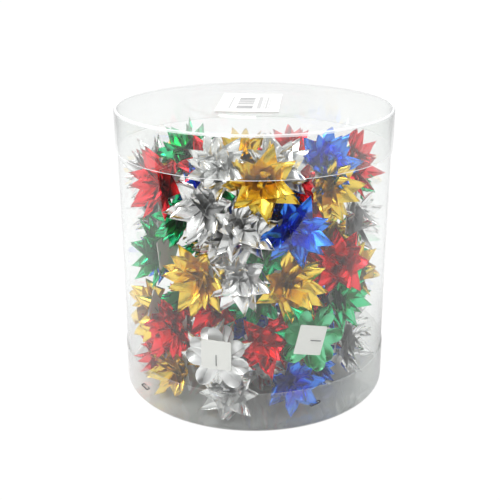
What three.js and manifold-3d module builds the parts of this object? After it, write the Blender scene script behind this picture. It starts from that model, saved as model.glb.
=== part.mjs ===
// A clear round tub of pre-made star gift bows, in millimetres, +Z up.
// The tub stands on its base cap with its axis on +Z; the front is -Y.
import * as THREE from 'three';
import { mergeVertices } from 'three/addons/utils/BufferGeometryUtils.js';
import Module from 'manifold-3d';

// Tub
const WALL_RADIUS = 98; // outside of the rolled wall
const TUB_HEIGHT = 206.4; // table to the lid's flat ring
const SHEET = 0.5; // thickness of the clear sheet
const CAP_RIM = 28.8; // depth of the side rim of both caps
const LID_SLACK = 0.6; // radial gap between the wall and the lid's rim
const BASE_SLACK = 0.3; // radial gap between the wall and the base cap's rim
const LID_EDGE_RADIUS = 1.8; // rounded corner of the lid
const BASE_EDGE_RADIUS = 1.2; // rounded corner of the base cap
const WALL_INSET = 1.0; // from each cap's outer face to the wall's cut edge
const PANEL_RADIUS = 48; // raised round panel in the middle of both caps
const PANEL_RISE = 2; // height of that panel
const PANEL_RAMP = 2.5; // width of the slope around it
const FACETS = 64; // flats around the tub
const SEAM_FACET = 32; // flat that the sheet's glued lap covers, at the back

// Label on the lid
const LABEL_SIZE = [43, 67, 0.2];
const LABEL_CENTRE = [-3, -6];
const LABEL_TURN = -4; // degrees

// Wire staples that hold the base cap to the wall
const STAPLE_FACETS = [-10, 4, 20, 36]; // flats of the wall they go through
const STAPLE_HEIGHTS = [12, 16, 14, 13];
const STAPLE_TILTS = [-6, 14, 3, -5]; // degrees
const STAPLE_CROWN = 8;
const WIRE = 0.45; // thickness of the staple wire
const HOLE_MARGIN = 0.3; // clearance around each staple leg

// Bows
const FIT = 0.3; // gap kept between loose pieces
const BOW_RADIUS = 25; // centre to loop tips
const BOW_VALLEY = 13; // centre to the dips between two loops
const BOW_CENTRE_HEIGHT = 8; // bow's centre above its flat back
const BOW_CROWN_HEIGHT = 24; // flat back to the top loop
const BOW_BACK_RADIUS = 15; // flat round back under the loops
const LOOPS = 6; // loops in one tier
const LINER = [20, 20, 0.8]; // sticky pad with its paper
const BOW_STAPLE_CROWN = 8;
const LINER_SLIP = 4; // liners that show sit this far off their staple

const toRadians = THREE.MathUtils.degToRad;

// Each bow: colour, degrees round from the front, height of its centre as a
// share of the tub's height, depth of its centre inside the wall, upward tilt
// and sideways swing of the way it faces, spin about that way, all in degrees,
// and its size as a share of the full bow.
const BOWS = [
  ['green', -80, 0.867, 46, 55, 20, 0, 1],
  ['silver', -80, 0.790, 18, 20, 0, 15, 1],
  ['silver', -17, 0.872, 20, 25, 20, 0, 0.96],
  ['gold', -12, 0.884, 55, 60, 0, 10, 0.88],
  ['gold', 4, 0.822, 17, 5, 0, 30, 1.06],
  ['silver', 16, 0.859, 36, 40, 0, 0, 1],
  ['red', 40, 0.884, 55, 45, 0, 0, 0.8],
  ['blue', 44, 0.868, 24, 30, -8, 20, 0.96],
  ['red', 76, 0.820, 20, 15, 0, 0, 1.02],
  ['gold', 43, 0.772, 18, 0, 0, 40, 0.96],
  ['red', -60, 0.772, 19, 10, 10, 10, 1.04],
  ['silver', -27, 0.728, 17, 5, -10, 25, 1.06],
  ['silver', -4, 0.672, 17, 10, 20, 0, 0.96],
  ['blue', 22, 0.655, 17, 0, 0, 15, 1.02],
  ['silver', 78, 0.612, 19, 0, 0, 0, 1.06],
  ['red', 48, 0.512, 19, 15, -60, 0, 0.98],
  ['gold', 76, 0.436, 19, 0, 40, 20, 0.96],
  ['green', -76, 0.492, 20, -5, -25, 0, 0.98],
  ['gold', -31, 0.478, 17, 0, 0, 10, 1.06],
  ['silver', -8, 0.492, 17, 0, -10, 45, 0.96],
  ['gold', 19, 0.470, 16, 0, 0, 0, 1.08],
  ['green', 60, 0.362, 19, 5, 0, 30, 1.06],
  ['red', -52, 0.260, 18, 10, 20, 0, 0.98],
  ['gold', -71, 0.291, 12, 0, -31, 45, 0.96],
  ['silver', -15.5, 0.247, 11, 0, 180, 90, 1.06],
  ['red', 5, 0.270, 17, 15, 0, 20, 0.96],
  ['green', 25.5, 0.305, 11, 0, 180, 15, 1.08],
  ['silver', 67, 0.168, 19, 5, 0, 10, 1.08],
  ['gold', -52, 0.090, 19, 10, 0, 25, 0.96],
  ['blue', 21, 0.100, 17, 5, 0, 0, 0.96],
  ['silver', -14, 0.078, 19, 30, 0, 15, 0.96],
  ['red', -84, 0.085, 20, 20, 0, 0, 0.96],
  ['silver', -104, 0.580, 17, 0, 0, 10, 1],
  ['blue', -112, 0.400, 17, 0, 0, 35, 1],
  ['green', 104, 0.740, 17, 5, 0, 0, 1],
  ['gold', -120, 0.720, 19, 25, 0, 20, 1],
  ['red', -126, 0.130, 18, 0, 0, 5, 1],
  ['red', -142, 0.560, 17, -5, 0, 30, 1],
  ['green', -158, 0.300, 17, 0, 0, 15, 1],
  ['silver', -168, 0.690, 18, 15, 0, 0, 1],
  ['silver', 104, 0.140, 18, 5, 0, 25, 1],
  ['green', 112, 0.440, 17, 0, 0, 40, 1],
  ['gold', 142, 0.640, 17, 0, 0, 10, 1],
  ['blue', 150, 0.200, 17, 10, 0, 20, 1],
  ['gold', 180, 0.080, 19, 20, 0, 0, 1],
  ['blue', -152, 0.760, 44, 70, 0, 10, 0.94],
];
const SHOWN_BACKS = [24, 25, 27]; // bows whose liner and staple are separate

const FOILS = { gold: '#d9a531', silver: '#d4d7da', red: '#c41526', green: '#0f8a4a', blue: '#1a3fb0' };

const wasm = await Module();
wasm.setup();

const toSolid = (geometry) => {
  const bare = geometry.index ? geometry.toNonIndexed() : geometry.clone();
  bare.deleteAttribute('normal');
  bare.deleteAttribute('uv');
  const welded = mergeVertices(bare, 1e-5);
  return new wasm.Manifold(new wasm.Mesh({
    numProp: 3,
    vertProperties: new Float32Array(welded.attributes.position.array),
    triVerts: new Uint32Array(welded.index.array),
  }));
};

const toGeometry = (solid) => {
  const { vertProperties, triVerts } = solid.getMesh();
  const geometry = new THREE.BufferGeometry();
  geometry.setAttribute('position', new THREE.BufferAttribute(vertProperties, 3));
  geometry.setIndex(new THREE.BufferAttribute(triVerts, 1));
  const flat = geometry.toNonIndexed();
  flat.computeVertexNormals();
  return flat;
};

const group = new THREE.Group();
group.name = 'star_bow_tub';

const addPiece = (name, solid, finish) => {
  const mesh = new THREE.Mesh(toGeometry(solid), new THREE.MeshStandardMaterial(finish));
  mesh.name = name;
  group.add(mesh);
};

const CLEAR = { color: '#eef2f4', roughness: 0.08, metalness: 0, transparent: true, opacity: 0.3 };
const STEEL = { color: '#b9bcc0', roughness: 0.35, metalness: 1 };
const PAPER = { color: '#f7f7f4', roughness: 0.8, metalness: 0 };

// Solid of revolution about +Z from a closed outline of [radius, height]
const turned = (outline) => {
  const points = outline.map(([radius, height]) => new THREE.Vector2(Math.max(radius, 0), height));
  const closed = [...points, points[0]];
  const geometry = new THREE.LatheGeometry(closed, FACETS);
  geometry.rotateX(Math.PI / 2);
  const onAxis = (index, position) => Math.hypot(position.getX(index), position.getY(index)) < 1e-6;
  const flat = geometry.toNonIndexed();
  const { position } = flat.attributes;
  const kept = [];
  for (let corner = 0; corner < position.count; corner += 3) {
    const corners = [corner, corner + 1, corner + 2];
    if (corners.filter((index) => onAxis(index, position)).length < 2) {
      corners.forEach((index) => kept.push(position.getX(index), position.getY(index), position.getZ(index)));
    }
  }
  const solid = new THREE.BufferGeometry();
  solid.setAttribute('position', new THREE.Float32BufferAttribute(kept, 3));
  return toSolid(solid);
};

// Points on a quarter circle, from one angle to another in degrees
const corner = (radius, height, size, from, to, steps = 3) => (
  Array.from({ length: steps + 1 }, (_, step) => {
    const angle = toRadians(from + ((to - from) * step) / steps);
    return [radius + size * Math.cos(angle), height + size * Math.sin(angle)];
  })
);

const blockAt = (size, matrix) => {
  const block = new THREE.BoxGeometry(...size);
  block.applyMatrix4(matrix);
  return toSolid(block);
};

// Frame of something that faces outwards, tilted up, swung aside and spun:
// its own +Z is the way it faces and its own +Y is up when nothing is spun
const facing = (place, around, tilt, swing, spin) => {
  const turn = toRadians(around + swing);
  const lift = toRadians(tilt);
  const out = new THREE.Vector3(
    Math.sin(turn) * Math.cos(lift),
    -Math.cos(turn) * Math.cos(lift),
    Math.sin(lift),
  );
  const side = new THREE.Vector3(Math.cos(turn), Math.sin(turn), 0);
  const up = new THREE.Vector3().crossVectors(out, side);
  return new THREE.Matrix4()
    .makeBasis(side, up, out)
    .setPosition(place)
    .multiply(new THREE.Matrix4().makeRotationZ(toRadians(spin)));
};

const aroundTub = (radius, around, height) => new THREE.Vector3(
  radius * Math.sin(toRadians(around)),
  -radius * Math.cos(toRadians(around)),
  height,
);

// Base cap: kicked-up middle, standing ring, side rim
const baseCap = () => {
  const outer = WALL_RADIUS + BASE_SLACK + SHEET;
  const inner = outer - SHEET;
  const fold = BASE_EDGE_RADIUS - SHEET;
  return turned([
    [0, PANEL_RISE],
    [PANEL_RADIUS, PANEL_RISE],
    [PANEL_RADIUS + PANEL_RAMP, 0],
    ...corner(outer - BASE_EDGE_RADIUS, BASE_EDGE_RADIUS, BASE_EDGE_RADIUS, -90, 0),
    [outer, CAP_RIM],
    [inner, CAP_RIM],
    ...corner(outer - BASE_EDGE_RADIUS, BASE_EDGE_RADIUS, fold, 0, -90),
    [PANEL_RADIUS + PANEL_RAMP, SHEET],
    [PANEL_RADIUS, PANEL_RISE + SHEET],
    [0, PANEL_RISE + SHEET],
  ]);
};

// Lid: raised middle, flat ring, rounded edge, side rim
const lid = () => {
  const outer = WALL_RADIUS + LID_SLACK + SHEET;
  const inner = outer - SHEET;
  const fold = LID_EDGE_RADIUS - SHEET;
  const turn = outer - LID_EDGE_RADIUS;
  const spring = TUB_HEIGHT - LID_EDGE_RADIUS;
  return turned([
    [0, TUB_HEIGHT + PANEL_RISE - SHEET],
    [PANEL_RADIUS, TUB_HEIGHT + PANEL_RISE - SHEET],
    [PANEL_RADIUS + PANEL_RAMP, TUB_HEIGHT - SHEET],
    ...corner(turn, spring, fold, 90, 0),
    [inner, TUB_HEIGHT - CAP_RIM],
    [outer, TUB_HEIGHT - CAP_RIM],
    ...corner(turn, spring, LID_EDGE_RADIUS, 0, 90),
    [PANEL_RADIUS + PANEL_RAMP, TUB_HEIGHT],
    [PANEL_RADIUS, TUB_HEIGHT + PANEL_RISE],
    [0, TUB_HEIGHT + PANEL_RISE],
  ]);
};

// Rolled sheet wall; the sheet laps over itself on one flat, on the inside
const wall = () => {
  const ringPoint = (index, radius) => {
    const angle = (index * 2 * Math.PI) / FACETS;
    return new THREE.Vector2(radius * Math.sin(angle), -radius * Math.cos(angle));
  };
  const outside = [];
  const inside = [];
  for (let index = 0; index < FACETS; index += 1) {
    outside.push(ringPoint(index, WALL_RADIUS));
    if (index === SEAM_FACET) {
      inside.push(ringPoint(index, WALL_RADIUS - SHEET));
      inside.push(ringPoint(index, WALL_RADIUS - 2 * SHEET));
    } else if (index === SEAM_FACET + 1) {
      inside.push(ringPoint(index, WALL_RADIUS - 2 * SHEET));
      inside.push(ringPoint(index, WALL_RADIUS - SHEET));
    } else {
      inside.push(ringPoint(index, WALL_RADIUS - SHEET));
    }
  }
  const shape = new THREE.Shape(outside);
  shape.holes.push(new THREE.Path(inside));
  const geometry = new THREE.ExtrudeGeometry(shape, {
    depth: TUB_HEIGHT - 2 * WALL_INSET,
    bevelEnabled: false,
  });
  geometry.translate(0, 0, WALL_INSET);
  return toSolid(geometry);
};

// Base staple: crown outside, legs through cap and wall, ends bent inside.
// Its own +Z points out of the tub and z = 0 is the wall's outside.
const BASE_STAPLE_REACH = {
  crown: BASE_SLACK + SHEET + FIT,
  clinch: -(SHEET + 0.2 + WIRE),
};

const baseStapleFrame = (index) => {
  const around = ((STAPLE_FACETS[index] + 0.5) * 360) / FACETS;
  const flat = WALL_RADIUS * Math.cos(Math.PI / FACETS);
  return facing(aroundTub(flat, around, STAPLE_HEIGHTS[index]), around, 0, 0, STAPLE_TILTS[index]);
};

const local = (x, y, z) => new THREE.Matrix4().makeTranslation(x, y, z);

const baseStaple = (frame) => {
  const { crown, clinch } = BASE_STAPLE_REACH;
  const legX = (STAPLE_CROWN - WIRE) / 2;
  const legLength = crown - clinch + WIRE;
  const place = (size, x, z) => blockAt(size, frame.clone().multiply(local(x, 0, z)));
  let staple = place([STAPLE_CROWN, WIRE, WIRE], 0, crown + WIRE / 2);
  for (const side of [-1, 1]) {
    staple = staple.add(place([WIRE, WIRE, legLength], side * legX, clinch + legLength / 2));
    staple = staple.add(place([2.6, WIRE, WIRE], side * (legX - 1.3 + WIRE / 2), clinch + WIRE / 2));
  }
  return staple;
};

const legHoles = (frame) => {
  const legX = (STAPLE_CROWN - WIRE) / 2;
  const width = WIRE + 2 * HOLE_MARGIN;
  return [-1, 1].map((side) => blockAt([width, width, 8], frame.clone().multiply(local(side * legX, 0, 0))));
};

// Star bow in its own frame: flat back on z = 0, loops rising to +Z.
// Every tier alternates loop tips and dips, and sees the bow's centre.
const bowGeometry = (scale) => {
  const around = 2 * LOOPS;
  const height = BOW_CENTRE_HEIGHT * scale;
  const crown = BOW_CROWN_HEIGHT * scale - height;
  const tiers = [
    { lift: -8, tip: BOW_RADIUS, dip: BOW_VALLEY, first: 0 },
    { lift: 32, tip: BOW_RADIUS * 0.94, dip: BOW_VALLEY, first: 1 },
    { lift: 64, tip: BOW_RADIUS * 0.8, dip: BOW_VALLEY, first: 0 },
  ];
  const rings = tiers.map(({ lift, tip, dip, first }) => Array.from({ length: around }, (_, index) => {
    const radius = (index % 2 === first ? tip : dip) * scale;
    const angle = (index * Math.PI) / LOOPS;
    const flat = radius * Math.cos(toRadians(lift));
    const rise = radius * Math.sin(toRadians(lift));
    return new THREE.Vector3(flat * Math.cos(angle), flat * Math.sin(angle), height + rise);
  }));
  const back = Array.from({ length: around }, (_, index) => {
    const angle = (index * Math.PI) / LOOPS;
    return new THREE.Vector3(Math.cos(angle), Math.sin(angle), 0).multiplyScalar(BOW_BACK_RADIUS * scale);
  });
  const ladder = [back, ...rings];
  const foot = new THREE.Vector3(0, 0, 0);
  const peak = new THREE.Vector3(0, 0, height + crown);
  const corners = [];
  for (let index = 0; index < around; index += 1) {
    const next = (index + 1) % around;
    corners.push(foot, back[next], back[index]);
    for (let tier = 0; tier + 1 < ladder.length; tier += 1) {
      const low = ladder[tier];
      const high = ladder[tier + 1];
      corners.push(low[index], low[next], high[index]);
      corners.push(low[next], high[next], high[index]);
    }
    corners.push(rings.at(-1)[index], rings.at(-1)[next], peak);
  }
  return new THREE.BufferGeometry().setFromPoints(corners);
};

const bowFrame = ([, around, share, depth, tilt, swing, spin]) => facing(
  aroundTub(WALL_RADIUS - SHEET - depth, around, share * TUB_HEIGHT),
  around,
  tilt,
  swing,
  spin,
);

// Room for the bows: inside the wall's lap and clinched staples, off the floor
const bowRoom = () => {
  const radius = WALL_RADIUS - SHEET - 0.2 - WIRE - 0.2;
  const floor = SHEET + FIT;
  const ceiling = TUB_HEIGHT - SHEET - FIT;
  return turned([
    [0, PANEL_RISE + floor],
    [PANEL_RADIUS, PANEL_RISE + floor],
    [PANEL_RADIUS + PANEL_RAMP, floor],
    [radius, floor],
    [radius, ceiling],
    [0, ceiling],
  ]);
};

const centres = BOWS.map((row) => new THREE.Vector3().setFromMatrixPosition(bowFrame(row)));

// Cut a piece back to the share of room between its bow and all the others
const sharedRoom = (solid, own) => centres.reduce((kept, other, index) => {
  if (index === own || other.distanceTo(centres[own]) > 3 * BOW_RADIUS) {
    return kept;
  }
  const away = centres[own].clone().sub(other);
  const normal = away.clone().normalize();
  const middle = centres[own].clone().add(other).multiplyScalar(0.5);
  return kept.trimByPlane(normal.toArray(), normal.dot(middle) + FIT / 2);
}, solid);

// Bow staple: crown on the liner's paper side, two legs up into the bow
const bowStaple = (frame, scale) => {
  const place = (size, x, z) => blockAt(size, frame.clone().multiply(local(x, 0, z)));
  const under = -BOW_CENTRE_HEIGHT * scale - FIT - LINER[2] - FIT - WIRE / 2;
  const legX = (BOW_STAPLE_CROWN - WIRE) / 2;
  const legLength = 5;
  let staple = place([BOW_STAPLE_CROWN, WIRE, WIRE], 0, under);
  for (const side of [-1, 1]) {
    const leg = place([WIRE, WIRE, legLength], side * legX, under - WIRE / 2 + legLength / 2);
    staple = staple.add(leg);
  }
  return staple;
};

const bowStapleHoles = (frame, scale) => {
  const under = -BOW_CENTRE_HEIGHT * scale - FIT - LINER[2] - FIT - WIRE;
  const legX = (BOW_STAPLE_CROWN - WIRE) / 2;
  const width = WIRE + 2 * HOLE_MARGIN;
  const depth = 5 + HOLE_MARGIN;
  return [-1, 1].map((side) => (
    blockAt([width, width, depth], frame.clone().multiply(local(side * legX, 0, under + depth / 2)))
  ));
};

const cut = (solid, tools) => tools.reduce((kept, tool) => kept.subtract(tool), solid);

// Tub
const stapleFrames = STAPLE_FACETS.map((_, index) => baseStapleFrame(index));
const stapleHoles = stapleFrames.flatMap((frame) => legHoles(frame));
addPiece('tub_wall', cut(wall(), stapleHoles), CLEAR);
addPiece('base_cap', cut(baseCap(), stapleHoles), CLEAR);
addPiece('lid', lid(), CLEAR);
const labelFrame = local(LABEL_CENTRE[0], LABEL_CENTRE[1], TUB_HEIGHT + PANEL_RISE + LABEL_SIZE[2] / 2)
  .multiply(new THREE.Matrix4().makeRotationZ(toRadians(LABEL_TURN)));
addPiece('lid_label', blockAt(LABEL_SIZE, labelFrame), PAPER);
stapleFrames.forEach((frame, index) => {
  addPiece(`base_staple_${index + 1}`, baseStaple(frame), STEEL);
});

// Bows
const room = bowRoom();
BOWS.forEach((row, index) => {
  const scale = row[7];
  const frame = bowFrame(row);
  const number = String(index + 1).padStart(2, '0');
  const drop = -BOW_CENTRE_HEIGHT * scale;
  const body = bowGeometry(scale);
  body.applyMatrix4(frame.clone().multiply(local(0, 0, drop)));
  let bow = toSolid(body);
  if (SHOWN_BACKS.includes(index + 1)) {
    const gap = drop - FIT - LINER[2] / 2;
    const holes = bowStapleHoles(frame, scale);
    const pad = blockAt(LINER, frame.clone().multiply(local(LINER_SLIP, 0, gap)));
    const liner = cut(sharedRoom(pad.intersect(room), index), holes);
    addPiece(`bow_${number}_liner`, liner, PAPER);
    addPiece(`bow_${number}_staple`, bowStaple(frame, scale), STEEL);
    bow = cut(bow, holes);
  } else {
    const gap = drop - LINER[2] / 2 + 0.1;
    bow = bow.add(blockAt(LINER, frame.clone().multiply(local(0, 0, gap))));
  }
  const foil = { color: FOILS[row[0]], roughness: 0.25, metalness: 1 };
  addPiece(`bow_${number}_${row[0]}`, sharedRoom(bow.intersect(room), index), foil);
});

export default group;
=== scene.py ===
"""Looks of a clear round tub packed with star gift bows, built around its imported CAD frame."""

import logging
import math
from dataclasses import dataclass, field
from enum import Enum

import bpy
import numpy as np
from mathutils import Matrix, Vector


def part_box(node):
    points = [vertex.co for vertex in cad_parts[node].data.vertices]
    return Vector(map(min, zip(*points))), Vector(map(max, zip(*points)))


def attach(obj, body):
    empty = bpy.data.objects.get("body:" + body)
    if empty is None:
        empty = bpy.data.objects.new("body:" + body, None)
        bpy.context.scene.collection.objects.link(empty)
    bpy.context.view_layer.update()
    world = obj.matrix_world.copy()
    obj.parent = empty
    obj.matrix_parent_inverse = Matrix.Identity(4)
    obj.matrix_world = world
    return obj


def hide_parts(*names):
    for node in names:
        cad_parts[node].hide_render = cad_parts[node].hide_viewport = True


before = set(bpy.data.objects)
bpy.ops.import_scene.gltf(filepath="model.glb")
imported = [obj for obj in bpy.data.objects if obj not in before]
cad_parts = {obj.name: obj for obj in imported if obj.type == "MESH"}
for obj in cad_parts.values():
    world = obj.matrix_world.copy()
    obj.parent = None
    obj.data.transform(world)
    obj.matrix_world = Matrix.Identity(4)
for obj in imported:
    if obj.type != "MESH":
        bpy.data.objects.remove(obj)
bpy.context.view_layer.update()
MM = 0.001
ROUND_STEPS = 192
SEED_STEP = 100
SHARP_PLASTIC = 35
CLEAR_BOUNCES = 32
BOUNCES = 16
log = logging.getLogger("bow_tub")


class Foil(Enum):
    """Ribbon colours the bows come in, each with its bright colour and its deep colour; the deep colour is
    painted shade that the finish mixes in along the crease mask.
    """

    GOLD = ("gold", (0.97, 0.70, 0.10), (0.86, 0.52, 0.04))
    SILVER = ("silver", (0.93, 0.93, 0.93), (0.82, 0.83, 0.84))
    RED = ("red", (0.92, 0.035, 0.05), (0.70, 0.012, 0.02))
    GREEN = ("green", (0.02, 0.66, 0.26), (0.01, 0.45, 0.15))
    BLUE = ("blue", (0.05, 0.25, 0.92), (0.02, 0.13, 0.74))

    @property
    def word(self) -> str:
        """Plain name of the colour."""
        return self.value[0]

    @property
    def slot(self) -> str:
        """Material slot of the record that this colour belongs to."""
        return f"{self.value[0]}_foil"


@dataclass(frozen=True)
class BowPlace:
    """Where one bow lies in the tub and which way it faces.

    Angles are in degrees, round from the front; depth is millimetres inside the wall.
    """

    foil: Foil
    around: float
    share: float
    depth: float
    tilt: float
    swing: float
    spin: float
    size: float


GOLD, SILVER, RED, GREEN, BLUE = Foil.GOLD, Foil.SILVER, Foil.RED, Foil.GREEN, Foil.BLUE
BOWS = (
    BowPlace(GREEN, -80, 0.867, 46, 55, 20, 0, 1),
    BowPlace(SILVER, -80, 0.790, 18, 20, 0, 15, 1),
    BowPlace(SILVER, -17, 0.872, 20, 25, 20, 0, 0.96),
    BowPlace(GOLD, -12, 0.884, 55, 60, 0, 10, 0.88),
    BowPlace(GOLD, 4, 0.822, 17, 5, 0, 30, 1.06),
    BowPlace(SILVER, 16, 0.859, 36, 40, 0, 0, 1),
    BowPlace(RED, 40, 0.884, 55, 45, 0, 0, 0.8),
    BowPlace(BLUE, 44, 0.868, 24, 30, -8, 20, 0.96),
    BowPlace(RED, 76, 0.820, 20, 15, 0, 0, 1.02),
    BowPlace(GOLD, 43, 0.772, 18, 0, 0, 40, 0.96),
    BowPlace(RED, -60, 0.772, 19, 10, 10, 10, 1.04),
    BowPlace(SILVER, -27, 0.728, 17, 5, -10, 25, 1.06),
    BowPlace(SILVER, -4, 0.672, 17, 10, 20, 0, 0.96),
    BowPlace(BLUE, 22, 0.655, 17, 0, 0, 15, 1.02),
    BowPlace(SILVER, 78, 0.612, 19, 0, 0, 0, 1.06),
    BowPlace(RED, 48, 0.512, 19, 15, -60, 0, 0.98),
    BowPlace(GOLD, 76, 0.436, 19, 0, 40, 20, 0.96),
    BowPlace(GREEN, -76, 0.492, 20, -5, -25, 0, 0.98),
    BowPlace(GOLD, -31, 0.478, 17, 0, 0, 10, 1.06),
    BowPlace(SILVER, -8, 0.492, 17, 0, -10, 45, 0.96),
    BowPlace(GOLD, 19, 0.470, 16, 0, 0, 0, 1.08),
    BowPlace(GREEN, 60, 0.362, 19, 5, 0, 30, 1.06),
    BowPlace(RED, -52, 0.260, 18, 10, 20, 0, 0.98),
    BowPlace(GOLD, -71, 0.291, 12, 0, -31, 45, 0.96),
    BowPlace(SILVER, -15.5, 0.247, 11, 0, 180, 90, 1.06),
    BowPlace(RED, 5, 0.270, 17, 15, 0, 20, 0.96),
    BowPlace(GREEN, 25.5, 0.305, 11, 0, 180, 15, 1.08),
    BowPlace(SILVER, 67, 0.168, 19, 5, 0, 10, 1.08),
    BowPlace(GOLD, -52, 0.090, 19, 10, 0, 25, 0.96),
    BowPlace(BLUE, 21, 0.100, 17, 5, 0, 0, 0.96),
    BowPlace(SILVER, -14, 0.078, 19, 30, 0, 15, 0.96),
    BowPlace(RED, -84, 0.085, 20, 20, 0, 0, 0.96),
    BowPlace(SILVER, -104, 0.580, 17, 0, 0, 10, 1),
    BowPlace(BLUE, -112, 0.400, 17, 0, 0, 35, 1),
    BowPlace(GREEN, 104, 0.740, 17, 5, 0, 0, 1),
    BowPlace(GOLD, -120, 0.720, 19, 25, 0, 20, 1),
    BowPlace(RED, -126, 0.130, 18, 0, 0, 5, 1),
    BowPlace(RED, -142, 0.560, 17, -5, 0, 30, 1),
    BowPlace(GREEN, -158, 0.300, 17, 0, 0, 15, 1),
    BowPlace(SILVER, -168, 0.690, 18, 15, 0, 0, 1),
    BowPlace(SILVER, 104, 0.140, 18, 5, 0, 25, 1),
    BowPlace(GREEN, 112, 0.440, 17, 0, 0, 40, 1),
    BowPlace(GOLD, 142, 0.640, 17, 0, 0, 10, 1),
    BowPlace(BLUE, 150, 0.200, 17, 10, 0, 20, 1),
    BowPlace(GOLD, 180, 0.080, 19, 20, 0, 0, 1),
    BowPlace(BLUE, -152, 0.760, 44, 70, 0, 10, 0.94),
)
BEHIND_THE_FRONT = (
    BowPlace(RED, -44, 0.835, 46, 20, 0, 10, 0.9),
    BowPlace(BLUE, -41, 0.765, 36, 20, 0, 10, 0.74),
    BowPlace(GREEN, -62, 0.640, 32, 10, 0, 10, 0.96),
    BowPlace(RED, 36, 0.690, 38, 10, 0, 10, 0.96),
    BowPlace(BLUE, 13, 0.700, 32, 20, -20, 10, 1.0),
    BowPlace(RED, 27, 0.760, 42, 20, 0, 10, 1.0),
    BowPlace(RED, -31, 0.335, 36, 10, 0, 0, 0.96),
)
HEART_COLOURS = (RED, BLUE, GOLD, SILVER, GREEN)
HEART_LEVELS = 8
HEART_START, HEART_STAGGER = 180, 11
HEART_FOOT, HEART_RISE = 0.080, 0.088
HEART_SIZE = 0.98
# Millimetres inside the wall, degrees between tries, and least distance from another bow
HEART_RINGS = ((18, 15, 36 * MM), (38, 18, 30 * MM), (62, 36, 30 * MM), (84, 72, 30 * MM))
SHOWN_BACKS = (24, 25, 27)
LOOSE_ON_TOP = {4: "top_bow_gold", 7: "top_bow_red", 46: "top_bow_blue"}


def math_node(tree: bpy.types.NodeTree, operation: str, *values: object) -> bpy.types.NodeSocket:
    """Add one Math node.

    Args:
        tree: Node tree to add it to.
        operation: The node's operation.
        values: Numbers or sockets for its inputs, in order.

    Returns:
        The node's output socket.
    """
    node = tree.nodes.new("ShaderNodeMath")
    node.operation = operation
    for socket, value in zip(node.inputs, values):
        if isinstance(value, bpy.types.NodeSocket):
            tree.links.new(value, socket)
        else:
            socket.default_value = value
    return node.outputs[0]


def blend_colours(
    tree: bpy.types.NodeTree, share: bpy.types.NodeSocket, low: tuple, high: tuple
) -> bpy.types.NodeSocket:
    """Mix two fixed colours by a mask.

    Args:
        tree: Node tree to add the node to.
        share: Mask socket, 0 for low and 1 for high.
        low: Linear colour where the mask is 0.
        high: Linear colour where the mask is 1.

    Returns:
        The mixed colour's socket.
    """
    node = tree.nodes.new("ShaderNodeMix")
    node.data_type = "RGBA"
    node.inputs["A"].default_value = (*low, 1)
    node.inputs["B"].default_value = (*high, 1)
    tree.links.new(share, node.inputs["Factor"])
    return node.outputs["Result"]


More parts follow.
